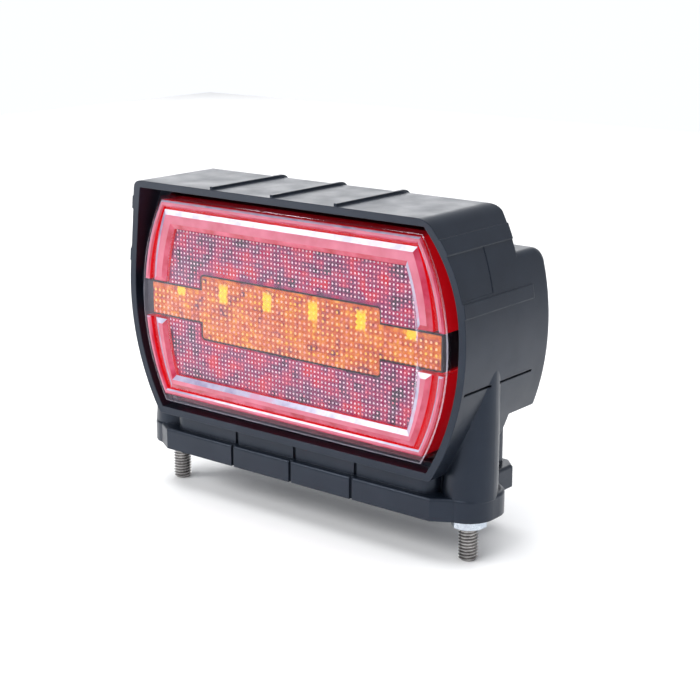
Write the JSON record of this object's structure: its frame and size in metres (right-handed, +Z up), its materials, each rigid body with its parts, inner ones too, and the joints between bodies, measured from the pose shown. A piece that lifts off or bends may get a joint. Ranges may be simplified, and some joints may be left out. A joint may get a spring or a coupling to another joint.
{
  "type": "tail light",
  "caption": "Compact LED trailer tail light in a black rubber holder with a visor; amber and red optics behind a clear lens; hangs on threaded studs.",
  "frame": {"origin": "on the flat underside of the rubber foot, midway between the axes of the two mounting studs", "axes": "+Z up away from the mounting surface, -Y the way the lens faces, +X to the right seen from the front, along the lamp's width"},
  "size_m": [0.1372, 0.0556, 0.1072],
  "materials": {
    "holder_rubber": "satin black moulded rubber",
    "zinc_steel": "bright zinc plated steel",
    "stainless_steel": "rolled stainless steel",
    "nut_zinc": "bluish bright zinc plating",
    "clear_lens": "clear polished acrylic",
    "seal_rubber": "matt silicone rubber",
    "shell_plastic": "matt black moulded plastic",
    "red_guide": "clear red acrylic with a polished face",
    "amber_plastic": "amber acrylic with a field of small lenses",
    "red_plastic": "red acrylic with a field of small lenses",
    "baffle_plastic": "matt black plastic",
    "tray_plastic": "metallised plastic reflector",
    "board_laminate": "solder masked glass fibre laminate",
    "led_body": "white plastic package with a yellow phosphor window",
    "component_black": "moulded component packages",
    "header_plastic": "natural nylon",
    "potting_resin": "cast sealing resin",
    "spacer_brass": "turned brass",
    "gland_rubber": "satin black rubber"
  },
  "bodies": {
    "root": {"amber_optic": "amber_plastic", "anchor_plate": "zinc_steel", "board_screws": "zinc_steel", "cable_gland": "gland_rubber", "circuit_board": "board_laminate", "driver_parts": "component_black", "frame_guide_lower": "red_guide", "frame_guide_upper": "red_guide", "indicator_leds": "led_body", "lamp_shell": "shell_plastic", "lead_grommet": "seal_rubber", "lens": "clear_lens", "lens_seal": "seal_rubber", "light_baffle": "baffle_plastic", "potting_block": "potting_resin", "red_optic_lower": "red_plastic", "red_optic_upper": "red_plastic", "reflector_tray": "tray_plastic", "ring_guide_lower": "red_guide", "ring_guide_upper": "red_guide", "rubber_holder": "holder_rubber", "screw_washers": "zinc_steel", "shell_screws": "stainless_steel", "stop_leds": "led_body", "stud_left": "stainless_steel", "stud_right": "stainless_steel", "tail_leds": "led_body", "threaded_spacers": "spacer_brass", "vent_plug": "shell_plastic", "wire_header": "header_plastic"},
    "washer_left": {"lock_washer_left": "zinc_steel"},
    "nut_left": {"nut_left": "nut_zinc"},
    "washer_right": {"lock_washer_right": "zinc_steel"},
    "nut_right": {"nut_right": "nut_zinc"}
  },
  "joints": [
    {"name": "washer_left_travel", "type": "slide", "parent": "root", "child": "washer_left", "axis": [0, 0, -1], "range_m": [0, 0.01]},
    {"name": "nut_left_turn", "type": "hinge", "parent": "washer_left", "child": "nut_left", "pos_m": [-0.06, 0, 0], "axis": [0, 0, -1], "range_deg": [0, 3638]},
    {"name": "washer_right_travel", "type": "slide", "parent": "root", "child": "washer_right", "axis": [0, 0, -1], "range_m": [0, 0.01]},
    {"name": "nut_right_turn", "type": "hinge", "parent": "washer_right", "child": "nut_right", "pos_m": [0.06, 0, 0], "axis": [0, 0, -1], "range_deg": [0, 3638]}
  ],
  "couplings": [
    {"joint": "nut_left_turn", "follows": "washer_left_travel", "rad_per_m": 6283.2},
    {"joint": "nut_right_turn", "follows": "washer_right_travel", "rad_per_m": 6283.2}
  ]
}
